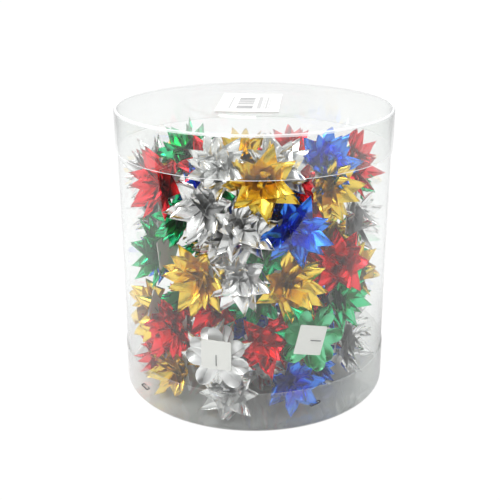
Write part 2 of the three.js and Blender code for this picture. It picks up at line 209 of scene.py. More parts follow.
class SurfaceDetail:
    """Shader node groups for the fine detail that several finishes share."""

    FOLD_SCALE = (0.45, 0.3, 1)
    LINE_SCALE = (0.5, 9.0, 1)
    LINE_SHARE = 0.02
    CLOUD_SCALE = (9, 9, 14)
    RUB_SCALE = (40, 40, 900)
    SWELL_SCALE = (7, 7, 5)

    def __init__(self) -> None:
        """Build each group once."""
        self.creases = self._creases()
        self.scuffs = self._scuffs()

    @staticmethod
    def _start(name: str, inputs: dict[str, float], outputs: tuple[str, ...]) -> bpy.types.NodeTree:
        """Make an empty group with its sockets.

        Args:
            name: Name of the group.
            inputs: Name and usual value of each float input.
            outputs: Names of the float outputs.

        Returns:
            The new group.
        """
        tree = bpy.data.node_groups.new(name, "ShaderNodeTree")
        tree.interface.new_socket(name="Vector", in_out="INPUT", socket_type="NodeSocketVector")
        for word, usual in inputs.items():
            socket = tree.interface.new_socket(name=word, in_out="INPUT", socket_type="NodeSocketFloat")
            socket.default_value = usual
        for word in outputs:
            tree.interface.new_socket(name=word, in_out="OUTPUT", socket_type="NodeSocketFloat")
        tree.nodes.new("NodeGroupInput").name = "in"
        tree.nodes.new("NodeGroupOutput").name = "out"
        return tree

    @staticmethod
    def _noise(tree: bpy.types.NodeTree, stretch: tuple, detail: float) -> bpy.types.NodeSocket:
        """Noise on the group's vector, stretched along its axes.

        Args:
            tree: The group.
            stretch: Scale along each axis.
            detail: Octaves of the noise.

        Returns:
            The noise value's socket.
        """
        mapping = tree.nodes.new("ShaderNodeMapping")
        mapping.inputs["Scale"].default_value = stretch
        tree.links.new(tree.nodes["in"].outputs["Vector"], mapping.inputs["Vector"])
        noise = tree.nodes.new("ShaderNodeTexNoise")
        noise.inputs["Scale"].default_value = 1.0
        noise.inputs["Detail"].default_value = detail
        tree.links.new(mapping.outputs["Vector"], noise.inputs["Vector"])
        return noise.outputs["Fac"]

    def _creases(self) -> bpy.types.NodeTree:
        """Creases across a ribbon and fine drawn lines along it.

        Returns:
            Group with a Height and a Mask output.
        """
        tree = self._start("ribbon_creases", {"Depth": 1.0}, ("Height", "Mask"))
        folds = self._noise(tree, self.FOLD_SCALE, 1.0)
        lines = self._noise(tree, self.LINE_SCALE, 2.0)
        height = math_node(tree, "ADD", folds, math_node(tree, "MULTIPLY", lines, self.LINE_SHARE))
        tree.links.new(
            math_node(tree, "MULTIPLY", height, tree.nodes["in"].outputs["Depth"]),
            tree.nodes["out"].inputs["Height"],
        )
        # The fold mask also tells the foils where to paint shade
        tree.links.new(folds, tree.nodes["out"].inputs["Mask"])
        return tree

    def _scuffs(self) -> bpy.types.NodeTree:
        """Cloudy handling marks with a few fine rub lines.

        Returns:
            Group with a Height and a Mask output.
        """
        tree = self._start("handling_scuffs", {"Depth": 1.0}, ("Height", "Mask"))
        clouds = self._noise(tree, self.CLOUD_SCALE, 3.0)
        rubs = self._noise(tree, self.RUB_SCALE, 2.0)
        mask = math_node(tree, "MULTIPLY", clouds, math_node(tree, "ADD", 0.5, rubs))
        tree.links.new(mask, tree.nodes["out"].inputs["Mask"])
        swell = self._noise(tree, self.SWELL_SCALE, 1.0)
        tree.links.new(
            math_node(tree, "MULTIPLY", swell, tree.nodes["in"].outputs["Depth"]),
            tree.nodes["out"].inputs["Height"],
        )
        return tree


def new_material(name: str) -> tuple[bpy.types.Material, bpy.types.NodeTree, bpy.types.Node]:
    """Start a node material.

    Args:
        name: Name of the material.

    Returns:
        The material, its node tree and its Principled node.
    """
    material = bpy.data.materials.new(name)
    material.use_nodes = True
    tree = material.node_tree
    return material, tree, tree.nodes["Principled BSDF"]


def add_detail(tree: bpy.types.NodeTree, group: bpy.types.NodeTree, output: str) -> bpy.types.Node:
    """Place a detail group in a material and feed it coordinates.

    Args:
        tree: The material's tree.
        group: The detail group.
        output: Texture Coordinate output to read, UV or Object.

    Returns:
        The group node.
    """
    node = tree.nodes.new("ShaderNodeGroup")
    node.node_tree = group
    place = tree.nodes.new("ShaderNodeTexCoord")
    tree.links.new(place.outputs[output], node.inputs["Vector"])
    return node


def add_bump(
    tree: bpy.types.NodeTree, height: bpy.types.NodeSocket, distance: float, strength: float
) -> bpy.types.NodeSocket:
    """Turn a height into a normal.

    Args:
        tree: The material's tree.
        height: Height socket.
        distance: Depth of the relief in metres.
        strength: Strength of the bump, 0 to 1.

    Returns:
        The normal's socket.
    """
    bump = tree.nodes.new("ShaderNodeBump")
    bump.inputs["Distance"].default_value = distance
    bump.inputs["Strength"].default_value = strength
    tree.links.new(height, bump.inputs["Height"])
    return bump.outputs["Normal"]


@dataclass(frozen=True)
class FoilFinish:
    """Mirror-bright plastic ribbon: shiny outside, duller inside, lightly creased, with painted shade that
    deepens its colour along the creases.
    """

    foil: Foil
    roughness: float = 0.23
    inner_roughness: float = 0.4
    inner_white: float = 0.16
    # Where the crease mask starts to paint shade, and how strongly it deepens the colour
    lining: tuple = (0.95, 0.96, 0.95)
    tone_start: float = 0.35
    tone_gain: float = 0.9
    roughness_spread: float = 0.1
    crease: float = 0.04 * MM
    crease_strength: float = 0.5

    def make(self, detail: SurfaceDetail) -> bpy.types.Material:
        """Build the material.

        Args:
            detail: Shared detail groups.

        Returns:
            The foil material.
        """
        material, tree, shader = new_material(f"{self.foil.word}_foil")
        group = add_detail(tree, detail.creases, "UV")
        inside = tree.nodes.new("ShaderNodeAttribute")
        inside.attribute_name = "inside"
        # Painted shade: the colour goes from bright towards deep where the crease mask is high
        folds = math_node(tree, "SUBTRACT", group.outputs["Mask"], self.tone_start)
        painted_shade = math_node(tree, "MULTIPLY", folds, self.tone_gain)
        painted_shade.node.use_clamp = True
        outer = blend_colours(tree, painted_shade, self.foil.value[1], self.foil.value[2])
        paler = tree.nodes.new("ShaderNodeMix")
        paler.data_type = "RGBA"
        tree.links.new(outer, paler.inputs["A"])
        paler.inputs["B"].default_value = (*self.lining, 1)
        whiter = math_node(tree, "MULTIPLY", inside.outputs["Fac"], self.inner_white)
        tree.links.new(whiter, paler.inputs["Factor"])
        tree.links.new(paler.outputs["Result"], shader.inputs["Base Color"])
        shader.inputs["Metallic"].default_value = 1.0
        duller = math_node(tree, "MULTIPLY", inside.outputs["Fac"], self.inner_roughness - self.roughness)
        uneven = math_node(tree, "MULTIPLY", group.outputs["Mask"], self.roughness_spread)
        uneven = math_node(tree, "ADD", uneven, self.roughness - self.roughness_spread / 2)
        tree.links.new(math_node(tree, "ADD", duller, uneven), shader.inputs["Roughness"])
        normal = add_bump(tree, group.outputs["Height"], self.crease, self.crease_strength)
        tree.links.new(normal, shader.inputs["Normal"])
        return material


@dataclass(frozen=True)
class ClearFinish:
    """Thin clear plastic sheet that mirrors by angle and is slightly hazy."""

    name: str
    haze: float
    tint: tuple = (0.984, 0.988, 0.984)
    ior: float = 1.49
    mirror_tint: tuple = (0.97, 0.975, 0.98)
    mirror_roughness: float = 0.035
    milk_tint: tuple = (0.93, 0.94, 0.95)
    milk_roughness: float = 0.5
    ripple: float = 6 * MM
    ripple_strength: float = 0.25

    def make(self, detail: SurfaceDetail) -> bpy.types.Material:
        """Build the material.

        Args:
            detail: Shared detail groups.

        Returns:
            The clear sheet material.
        """
        material, tree, shader = new_material(self.name)
        group = add_detail(tree, detail.scuffs, "Object")
        shader.inputs["Base Color"].default_value = (*self.mirror_tint, 1)
        shader.inputs["Metallic"].default_value = 1.0
        shader.inputs["Roughness"].default_value = self.mirror_roughness
        normal = add_bump(tree, group.outputs["Height"], self.ripple, self.ripple_strength)
        tree.links.new(normal, shader.inputs["Normal"])
        clear = tree.nodes.new("ShaderNodeBsdfTransparent")
        clear.inputs["Color"].default_value = (*self.tint, 1)
        side = tree.nodes.new("ShaderNodeNewGeometry")
        turned = math_node(tree, "MULTIPLY", side.outputs["Backfacing"], 1 / self.ior - self.ior)
        mirror = tree.nodes.new("ShaderNodeFresnel")
        tree.links.new(math_node(tree, "ADD", turned, self.ior), mirror.inputs["IOR"])
        glossy = tree.nodes.new("ShaderNodeMixShader")
        tree.links.new(mirror.outputs["Fac"], glossy.inputs["Fac"])
        tree.links.new(clear.outputs["BSDF"], glossy.inputs[1])
        tree.links.new(shader.outputs["BSDF"], glossy.inputs[2])
        milk = tree.nodes.new("ShaderNodeBsdfPrincipled")
        milk.inputs["Base Color"].default_value = (*self.milk_tint, 1)
        milk.inputs["Roughness"].default_value = self.milk_roughness
        hazy = tree.nodes.new("ShaderNodeMixShader")
        edge = tree.nodes.new("ShaderNodeAttribute")
        edge.attribute_name = "cut_edge"
        share = math_node(tree, "MULTIPLY_ADD", group.outputs["Mask"], 2 * self.haze, edge.outputs["Fac"])
        tree.links.new(share, hazy.inputs["Fac"])
        tree.links.new(glossy.outputs["Shader"], hazy.inputs[1])
        tree.links.new(milk.outputs["BSDF"], hazy.inputs[2])
        tree.links.new(hazy.outputs["Shader"], tree.nodes["Material Output"].inputs["Surface"])
        return material


@dataclass(frozen=True)
class PaperFinish:
    """Matt white paper with faint fibres."""

    name: str = "white_paper"
    colour: tuple = (0.84, 0.84, 0.81)
    fibre_shade: float = 0.93
    fibre_scale: float = 900.0
    roughness: float = 0.75

    def make(self) -> bpy.types.Material:
        """Build the material.

        Returns:
            The paper material.
        """
        material, tree, shader = new_material(self.name)
        place = tree.nodes.new("ShaderNodeTexCoord")
        fibres = tree.nodes.new("ShaderNodeTexNoise")
        fibres.inputs["Scale"].default_value = self.fibre_scale
        fibres.inputs["Detail"].default_value = 3
        tree.links.new(place.outputs["Object"], fibres.inputs["Vector"])
        darker = tuple(self.fibre_shade * c for c in self.colour)
        mottled = blend_colours(tree, fibres.outputs["Fac"], darker, self.colour)
        tree.links.new(mottled, shader.inputs["Base Color"])
        shader.inputs["Roughness"].default_value = self.roughness
        tree.links.new(add_bump(tree, fibres.outputs["Fac"], 0.08 * MM, 0.4), shader.inputs["Normal"])
        return material


@dataclass(frozen=True)
class LabelFinish:
    """White label printed with a band of thin bars and plain grey lines."""

    name: str = "printed_label"
    paper: tuple = (0.86, 0.86, 0.84)
    ink: tuple = (0.22, 0.22, 0.23)
    bar_cells: float = 90.0
    bar_share: float = 0.5
    bar_across: tuple = (0.31, 0.57)
    bar_along: tuple = (0.14, 0.92)
    line_cells: float = 60.0
    line_share: float = 0.4
    line_strength: float = 0.6
    line_across: tuple = ((0.17, 0.25), (0.62, 0.86))
    line_along: tuple = (0.18, 0.84)
    roughness: float = 0.45

    def make(self) -> bpy.types.Material:
        """Build the material.

        Returns:
            The label material.
        """
        material, tree, shader = new_material(self.name)
        place = tree.nodes.new("ShaderNodeTexCoord")
        split = tree.nodes.new("ShaderNodeSeparateXYZ")
        tree.links.new(place.outputs["UV"], split.inputs["Vector"])
        across, along = split.outputs["X"], split.outputs["Y"]
        bars = self._stripes(tree, along, self.bar_cells, self.bar_share)
        bars = math_node(tree, "MULTIPLY", bars, self._within(tree, across, *self.bar_across))
        bars = math_node(tree, "MULTIPLY", bars, self._within(tree, along, *self.bar_along))
        lines = self._stripes(tree, across, self.line_cells, self.line_share)
        left, right = (self._within(tree, across, *band) for band in self.line_across)
        lines = math_node(tree, "MULTIPLY", lines, math_node(tree, "ADD", left, right))
        lines = math_node(tree, "MULTIPLY", lines, self._within(tree, along, *self.line_along))
        ink = math_node(tree, "MAXIMUM", bars, math_node(tree, "MULTIPLY", lines, self.line_strength))
        tree.links.new(blend_colours(tree, ink, self.paper, self.ink), shader.inputs["Base Color"])
        shader.inputs["Roughness"].default_value = self.roughness
        return material

    @staticmethod
    def _within(
        tree: bpy.types.NodeTree, value: bpy.types.NodeSocket, low: float, high: float
    ) -> bpy.types.NodeSocket:
        """Mask that is 1 between two values.

        Args:
            tree: The material's tree.
            value: Socket to test.
            low: Start of the band.
            high: End of the band.

        Returns:
            The mask's socket.
        """
        above = math_node(tree, "GREATER_THAN", value, low)
        return math_node(tree, "MULTIPLY", above, math_node(tree, "LESS_THAN", value, high))

    @staticmethod
    def _stripes(
        tree: bpy.types.NodeTree, value: bpy.types.NodeSocket, count: float, share: float
    ) -> bpy.types.NodeSocket:
        """Uneven stripes along one direction.

        Args:
            tree: The material's tree.
            value: Position along the pattern, 0 to 1.
            count: Number of cells.
            share: Share of the cells that are inked.

        Returns:
            The stripe mask's socket.
        """
        cell = math_node(tree, "FLOOR", math_node(tree, "MULTIPLY", value, count))
        chance = tree.nodes.new("ShaderNodeTexWhiteNoise")
        chance.noise_dimensions = "1D"
        tree.links.new(cell, chance.inputs["W"])
        return math_node(tree, "LESS_THAN", chance.outputs["Value"], share)


@dataclass(frozen=True)
class WireFinish:
    """Galvanised staple wire, painted dark all over as shade, and darker still where it is scuffed."""

    name: str = "steel_wire"
    # Both colours are painted dark as shade; the dull one is where the wire is scuffed
    bright: tuple = (0.13, 0.13, 0.15)
    dull: tuple = (0.05, 0.05, 0.06)
    roughness: float = 0.32

    def make(self, detail: SurfaceDetail) -> bpy.types.Material:
        """Build the material.

        Args:
            detail: Shared detail groups.

        Returns:
            The wire material.
        """
        material, tree, shader = new_material(self.name)
        group = add_detail(tree, detail.scuffs, "Object")
        # Painted shade and wear: dark all over, darker where the scuff mask is high
        wear_and_painted_shade = blend_colours(tree, group.outputs["Mask"], self.bright, self.dull)
        tree.links.new(wear_and_painted_shade, shader.inputs["Base Color"])
        shader.inputs["Metallic"].default_value = 1.0
        shader.inputs["Roughness"].default_value = self.roughness
        return material


class Finishes:
    """Every material of the tub, made once."""

    def __init__(self) -> None:
        """Build the materials."""
        detail = SurfaceDetail()
        self.foils = {foil: FoilFinish(foil).make(detail) for foil in Foil}
        self.wall = ClearFinish("clear_wall", 0.003).make(detail)
        self.caps = ClearFinish("clear_caps", 0.006).make(detail)
        self.paper = PaperFinish().make()
        self.label = LabelFinish().make()
        self.wire = WireFinish().make(detail)


def place_piece(
    name: str, mesh: bpy.types.Mesh, body: str, nodes: tuple[str, ...] = ()
) -> bpy.types.Object:
    """Put a finished mesh in the scene and tie it to its CAD body.

    Args:
        name: Name of the piece.
        mesh: Mesh in the row frame.
        body: CAD body that it rides on.
        nodes: CAD nodes that it stands for.

    Returns:
        The new object.
    """
    piece = bpy.data.objects.new(name, mesh)
    bpy.context.scene.collection.objects.link(piece)
    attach(piece, body)
    if nodes:
        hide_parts(*nodes)
    return piece


def mesh_from(name: str, points: np.ndarray, faces: list, smooth: bool = True) -> bpy.types.Mesh:
    """Make a mesh from points and faces.

    Args:
        name: Name of the mesh.
        points: Points in metres, one row each.
        faces: Corner indices of each face.
        smooth: Whether faces shade smoothly.

    Returns:
        The mesh.
    """
    mesh = bpy.data.meshes.new(name)
    mesh.from_pydata([tuple(p) for p in points], [], faces)
    mesh.validate()
    mesh.polygons.foreach_set("use_smooth", [smooth] * len(mesh.polygons))
    mesh.update()
    return mesh


def turned_mesh(name: str, outline: list[tuple[float, float]], steps: int = ROUND_STEPS) -> bpy.types.Mesh:
    """Turn a closed outline about the tub's axis.

    Args:
        name: Name of the mesh.
        outline: Radius and height of each point, in metres, with the solid on the left.
        steps: Steps around the axis.

    Returns:
        A closed mesh whose poles are single points.
    """
    angles = np.arange(steps) * 2 * math.pi / steps
    points: list = []
    rings: list = []
    for radius, height in outline:
        if radius < 1e-7:
            rings.append([len(points)] * steps)
            points.append((0.0, 0.0, height))
        else:
            rings.append(list(range(len(points), len(points) + steps)))
            points.extend((radius * math.sin(a), -radius * math.cos(a), height) for a in angles)
    faces = []
    for low, high in zip(rings, rings[1:] + rings[:1]):
        if low[0] == low[1] and high[0] == high[1]:
            continue
        for step in range(steps):
            after = (step + 1) % steps
            corners = [low[step], low[after], high[after], high[step]]
            faces.append(tuple(dict.fromkeys(corners)))
    mesh = mesh_from(name, np.array(points), faces)
    mesh.set_sharp_from_angle(angle=math.radians(SHARP_PLASTIC))
    return mesh


def quarter(
    radius: float, height: float, size: float, start: float, end: float, steps: int = 6
) -> list[tuple[float, float]]:
    """Points on an arc of an outline.

    Args:
        radius: Radius of the arc's centre.
        height: Height of the arc's centre.
        size: Radius of the arc.
        start: First angle in degrees.
        end: Last angle in degrees.
        steps: Number of steps.

    Returns:
        The points in order.
    """
    angles = [math.radians(start + (end - start) * i / steps) for i in range(steps + 1)]
    return [(radius + size * math.cos(a), height + size * math.sin(a)) for a in angles]


def wire_mesh(name: str, path: list[Vector], radius: float, sides: int = 8) -> bpy.types.Mesh:
    """Round wire that follows a path of straight runs.

    Args:
        name: Name of the mesh.
        path: Points along the wire.
        radius: Radius of the wire.
        sides: Sides of its section.

    Returns:
        A closed tube.
    """
    points: list = []
    faces: list = []
    for index, point in enumerate(path):
        before = path[max(index - 1, 0)]
        after = path[min(index + 1, len(path) - 1)]
        run = (after - before).normalized()
        guide = Vector((0.3, 0.2, 1)) if abs(run.z) < 0.9 else Vector((1, 0.1, 0))
        across = run.cross(guide).normalized()
        over = run.cross(across)
        for side in range(sides):
            angle = 2 * math.pi * side / sides
            points.append(point + (across * math.cos(angle) + over * math.sin(angle)) * radius)
    for ring in range(len(path) - 1):
        for side in range(sides):
            after = (side + 1) % sides
            low, high = ring * sides, (ring + 1) * sides
            faces.append((low + side, high + side, high + after, low + after))
    faces.append(tuple(range(sides)))
    faces.append(tuple(reversed(range(len(points) - sides, len(points)))))
    return mesh_from(name, np.array(points), faces)


def staple_path(left: list[tuple[float, float]], matrix: Matrix) -> list[Vector]:
    """Path of a staple from its left half.

    Args:
        left: Place across and height of each point of the left half, from its end to its crown.
        matrix: Frame of the staple.

    Returns:
        Points from one end of the wire to the other.
    """
    whole = left + [(-x, z) for x, z in reversed(left)]
    return [matrix @ Vector((x, 0, z)) for x, z in whole]


def facing(place: Vector, around: float, tilt: float, swing: float, spin: float) -> Matrix:
    """Frame of something that faces outwards from the tub.

    Args:
        place: Its position.
        around: Degrees round from the front.
        tilt: Degrees that it faces upwards.
        swing: Degrees that it faces aside.
        spin: Degrees turned about the way it faces.

    Returns:
        Matrix whose +Z is the way it faces.
    """
    turn, lift = math.radians(around + swing), math.radians(tilt)
    out = Vector((math.sin(turn) * math.cos(lift), -math.cos(turn) * math.cos(lift), math.sin(lift)))
    side = Vector((math.cos(turn), math.sin(turn), 0))
    up = out.cross(side)
    basis = Matrix((side, up, out)).transposed().to_4x4()
    return Matrix.Translation(place) @ basis @ Matrix.Rotation(math.radians(spin), 4, "Z")


@dataclass
class Tub:
    """Clear wall, base cap and lid, with the base staples."""

    finishes: Finishes
    sheet: float = 0.5 * MM
    lid_corner: float = 1.8 * MM
    base_corner: float = 1.2 * MM
    panel: float = 48 * MM
    ramp: float = 2.5 * MM
    rise: float = 2 * MM
    facets: int = 64
    lap_steps: int = 4
    lap_share: float = 1.9
    staple_facets: tuple = (-10, 4, 20, 36)
    staple_heights: tuple = (12, 16, 14, 13)
    staple_tilts: tuple = (-6, 14, 3, -5)
    staple_half: float = 3.75 * MM
    staple_crown: float = 1.4 * MM
    staple_depth: float = 0.98 * MM
    staple_fold: float = 2.4 * MM
    staple_bend: float = 0.35 * MM
    staple_wire: float = 0.42 * MM
    edge_height: float = 0.35 * MM
    edge_slack: float = 1.05
    base_edge_white: float = 0.12
    lid_edge_white: float = 0.5
    radius: float = field(init=False)
    height: float = field(init=False)
    wall_ends: tuple = field(init=False)

    def __post_init__(self) -> None:
        """Read the tub's main sizes from the frame."""
        low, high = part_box("tub_wall")
        self.radius = high.x
        self.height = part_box("lid")[1].z - self.rise
        self.wall_ends = (low.z, high.z)

    def inside(self) -> float:
        """Radius of the wall's inner face."""
        return self.radius - self.sheet

    def build(self) -> None:
        """Make and dress every piece of the tub."""
        self._wall()
        self._base_cap()
        self._lid()
        for index in range(len(self.staple_facets)):
            self._staple(index)

    def _finish(
        self, name: str, mesh: bpy.types.Mesh, body: str, material: bpy.types.Material, edge_white: float
    ) -> None:
        """Dress a clear piece and tie it to its body.

        Args:
            name: CAD node it stands for.
            mesh: Its mesh.
            body: CAD body it rides on.
            material: Its clear material.
            edge_white: How white its cut edge looks, 0 to 1.
        """
        mesh.materials.append(material)
        level = mesh.attributes.new("cut_edge", "FLOAT", "FACE")
        level.data.foreach_set("value", [edge_white * self._is_cut(face, mesh) for face in mesh.polygons])
        place_piece(f"{name}_clear", mesh, body, (name,))
        log.info("%s: %d faces", name, len(mesh.polygons))

    def _is_cut(self, face: bpy.types.MeshPolygon, mesh: bpy.types.Mesh) -> bool:
        """Tell whether a face belongs to the cut edge of a sheet.

        Args:
            face: Face of a clear piece.
            mesh: Its mesh.

        Returns:
            True for the short end faces of the wall and of the caps' side rims.
        """
        heights = [mesh.vertices[index].co.z for index in face.vertices]
        reach = math.hypot(face.center.x, face.center.y)
        short = max(heights) - min(heights) <= self.edge_slack * self.edge_height
        return short and reach > self.inside() - self.sheet

    def _wall(self) -> None:
        """Rolled wall with the glued lap inside its back."""
        steps = ROUND_STEPS
        lap = range(steps // 2, steps // 2 + self.lap_steps)
        points, faces = [], []
        for index in range(steps):
            angle = 2 * math.pi * index / steps
            thick = self.sheet * (self.lap_share if index in lap else 1.0)
            for radius in (self.radius, self.radius - thick):
                for height in self.wall_ends:
                    points.append((radius * math.sin(angle), -radius * math.cos(angle), height))
        for index in range(steps):
            a, b = 4 * index, 4 * ((index + 1) % steps)
            faces.append((a, b, b + 1, a + 1))
            faces.append((a + 3, b + 3, b + 2, a + 2))
            faces.append((a + 1, b + 1, b + 3, a + 3))
            faces.append((a + 2, b + 2, b, a))
        mesh = mesh_from("tub_wall_clear", np.array(points), faces)
        mesh.set_sharp_from_angle(angle=math.radians(SHARP_PLASTIC))
        self._finish("tub_wall", mesh, "tub", self.finishes.wall, 0.0)

    def _kick(self, level: float) -> list[tuple[float, float]]:
        """Outline of the raised round panel and its ramp, from the axis out.

        Args:
            level: Height of the flat ring round the panel.

        Returns:
            Radius and height of each point.
        """
        slope, ease = self.panel + self.ramp, 0.6 * MM
        return [
            (0, level + self.rise),
            (self.panel - 1 * MM, level + self.rise),
            (self.panel + ease, level + self.rise - ease / 2),
            (slope - ease, level + ease / 2),
            (slope + 1 * MM, level),
        ]

    def _base_cap(self) -> None:
        """Base cap with its kicked-up middle and side rim."""
        outer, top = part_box("base_cap")[1].x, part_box("base_cap")[1].z
        edge = outer - self.base_corner
        outline = [
            *self._kick(0),
            *quarter(edge, self.base_corner, self.base_corner, -90, 0),
            (outer, top - self.edge_height),
            (outer, top),
            (outer - self.sheet, top),
            (outer - self.sheet, top - self.edge_height),
            *quarter(edge, self.base_corner, self.base_corner - self.sheet, 0, -90),
            *reversed(self._kick(self.sheet)),
        ]
        mesh = turned_mesh("base_cap_clear", outline)
        self._finish("base_cap", mesh, "tub", self.finishes.caps, self.base_edge_white)

    def _lid(self) -> None:
        """Push-on lid with its raised panel and side rim."""
        outer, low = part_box("lid")[1].x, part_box("lid")[0].z
        edge, spring = outer - self.lid_corner, self.height - self.lid_corner
        outline = [
            *self._kick(self.height - self.sheet),
            *quarter(edge, spring, self.lid_corner - self.sheet, 90, 0),
            (outer - self.sheet, low + self.edge_height),
            (outer - self.sheet, low),
            (outer, low),
            (outer, low + self.edge_height),
            *quarter(edge, spring, self.lid_corner, 0, 90),
            *reversed(self._kick(self.height)),
        ]
        mesh = turned_mesh("lid_clear", outline)
        self._finish("lid", mesh, "lid", self.finishes.caps, self.lid_edge_white)

    def _staple(self, index: int) -> None:
        """Wire staple through the base cap and the wall.

        Args:
            index: Which staple, from 0.
        """
        around = (self.staple_facets[index] + 0.5) * 360 / self.facets
        flat = self.radius * math.cos(math.pi / self.facets)
        angle = math.radians(around)
        place = Vector((flat * math.sin(angle), -flat * math.cos(angle), self.staple_heights[index] * MM))
        matrix = facing(place, around, 0, 0, self.staple_tilts[index])
        left = [
            (self.staple_fold - self.staple_half, -self.staple_depth),
            (self.staple_bend - self.staple_half, -self.staple_depth),
            (-self.staple_half, self.staple_bend - self.staple_depth),
            (-self.staple_half, self.staple_crown - self.staple_bend),
            (self.staple_bend - self.staple_half, self.staple_crown),
        ]
        name = f"base_staple_{index + 1}"
        mesh = wire_mesh(name, staple_path(left, matrix), self.staple_wire)
        mesh.materials.append(self.finishes.wire)
        place_piece(f"{name}_wire", mesh, "tub", (name,))
        log.info("%s", name)


@dataclass
class LidLabel:
    """Printed paper label stuck on the lid's raised panel."""

    finishes: Finishes
    size: tuple = (43 * MM, 67 * MM)
    centre: tuple = (-3 * MM, -6 * MM)
    turn: float = -4.0
    steps: int = 12
    curl: float = 0.5 * MM
    curl_power: int = 8
    glue: float = 0.01 * MM
    sharp: float = 50.0

    def _lift(self, u: float, v: float) -> float:
        """Height that the paper has come off by.

        Args:
            u: Place across the label, 0 to 1.
            v: Place along the label, 0 to 1.

        Returns:
            The height in metres.
        """
        aside, along = abs(u - 0.5), abs(v - 0.5)
        return self.curl * (max(aside, along) * 2) ** self.curl_power * (aside + along)

    def build(self) -> None:
        """Make the label with slightly lifting corners."""
        low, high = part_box("lid_label")
        points, faces, marks = [], [], []
        turn = Matrix.Rotation(math.radians(self.turn), 3, "Z")
        count = self.steps + 1
        for level in (0, 1):
            for row in range(count):
                for column in range(count):
                    u, v = column / self.steps, row / self.steps
                    x, y = (u - 0.5) * self.size[0], (v - 0.5) * self.size[1]
                    height = low.z + self.glue + self._lift(u, v) + level * (high.z - low.z)
                    spot = turn @ Vector((x, y, 0))
                    points.append((spot.x + self.centre[0], spot.y + self.centre[1], height))
                    marks.append((u, v))
        for row in range(self.steps):
            for column in range(self.steps):
                a = row * count + column
                quad = (a, a + 1, a + count + 1, a + count)
                faces.append(tuple(reversed(quad)))
                faces.append(tuple(i + count * count for i in quad))
        top = count * count
        ring = (
            list(range(count))
            + [r * count + self.steps for r in range(1, count)]
            + [self.steps * count + c for c in range(self.steps - 1, -1, -1)]
            + [r * count for r in range(self.steps - 1, 0, -1)]
        )
        for a, b in zip(ring, ring[1:] + ring[:1]):
            faces.append((a, b, b + top, a + top))
        mesh = mesh_from("lid_label_paper", np.array(points), faces)
        mesh.set_sharp_from_angle(angle=math.radians(self.sharp))
        layer = mesh.uv_layers.new(name="UVMap")
        for loop in mesh.loops:
            layer.data[loop.index].uv = marks[loop.vertex_index]
        mesh.materials.append(self.finishes.label)
        place_piece("lid_label_paper", mesh, "lid", ("lid_label",))
        log.info("lid_label")


@dataclass
class RibbonLoop:
    """One loop of a star bow: ribbon wound to a cone whose tip points outwards.

    The ribbon's two arms lie along +X from the bow's middle to the tip; the round
    mouth of the cone opens towards the bow's back.
    """

    width: float = 9.5 * MM
    reach: float = 25 * MM
    cone: float = 21.0
    flatten: float = 0.5
    thickness: float = 0.15 * MM
    gap: float = 0.3 * MM
    waist: float = 0.0
    fold: float = 0.25 * MM
    shares: tuple = (1, 0.58, 0.36, 0.22, 0.12, 0.05)
    rows: tuple = (0.0, 0.5, 1.0)
    sharp: float = 75.0

    def build(self) -> bpy.types.Object:
        """Make the loop as a hidden mould for the bows.

        Returns:
            The mould object.
        """
        alpha = math.radians(self.cone)
        wrap = math.pi * math.sin(alpha)
        runs = [-share for share in self.shares] + [0] + list(reversed(self.shares))
        rows = self.rows
        points, spots = [], []
        for layer in (0, 1):
            for row in rows:
                for run in runs:
                    s, t = run * self.reach, max(row * self.width, self.fold)
                    points.append(self._wound(s, t, alpha, wrap, layer * self.thickness))
                    spots.append((s / self.width, row))
        faces, inside = [], []
        count = len(runs)
        sheet = count * len(rows)
        for row in range(len(rows) - 1):
            for run in range(count - 1):
                a = row * count + run
                quad = (a, a + 1, a + 1 + count, a + count)
                faces.append(quad)
                inside.append(0.0)
                faces.append(tuple(quad[turn] + sheet for turn in (0, 3, 2, 1)))
                inside.append(1.0)
        border = (
            list(range(count))
            + [r * count + count - 1 for r in range(1, len(rows))]
            + list(range(len(rows) * count - 2, (len(rows) - 1) * count - 1, -1))
            + [r * count for r in range(len(rows) - 2, 0, -1)]
        )
        for a, b in zip(border, border[1:] + border[:1]):
            faces.append((b, a, a + sheet, b + sheet))
            inside.append(0.5)
        mesh = mesh_from("ribbon_loop", np.array(points), faces)
        layer = mesh.uv_layers.new(name="UVMap")
        for loop in mesh.loops:
            layer.data[loop.index].uv = spots[loop.vertex_index]
        shade = mesh.attributes.new("inside", "FLOAT", "FACE")
        shade.data.foreach_set("value", inside)
        mesh.set_sharp_from_angle(angle=math.radians(self.sharp))
        mould = bpy.data.objects.new("ribbon_loop", mesh)
        bpy.context.scene.collection.objects.link(mould)
        return mould

    def _wound(self, s: float, t: float, alpha: float, wrap: float, depth: float) -> Vector:
        """Place a point of the flat ribbon on the wound loop.

        Args:
            s: Distance along the ribbon from its fold.
            t: Distance across the ribbon from its tip edge.
            alpha: Half-angle of the cone.
            wrap: Angle on the ribbon at which it has gone half round the cone.
            depth: Distance inwards from the shiny side.

        Returns:
            The point, with the bow's middle at x = 0.
        """
        rho, psi = math.hypot(s, t), math.atan2(s, t)
        side = 1 if s >= 0 else -1
        if abs(psi) <= wrap:
            phi = psi / math.sin(alpha)
            girth = rho * math.sin(alpha) - depth
            along = rho * math.cos(alpha)
            up, out = -math.cos(phi) * girth, math.sin(phi) * girth
            x = -along * math.cos(alpha) - up * math.sin(alpha)
            z = -along * math.sin(alpha) + up * math.cos(alpha)
            y = out
        else:
            over = abs(psi) - wrap
            x, y = -rho * math.cos(over), -side * rho * math.sin(over)
            z = -depth
        inwards = min(max(-x / self.reach, 0), 1)
        y *= 1 - self.waist * inwards**2
        apart = max(-1.0, min(1.0, psi / wrap)) + side * inwards
        z = z * self.flatten + self.gap * apart
        return Vector((self.reach + x, y, z))


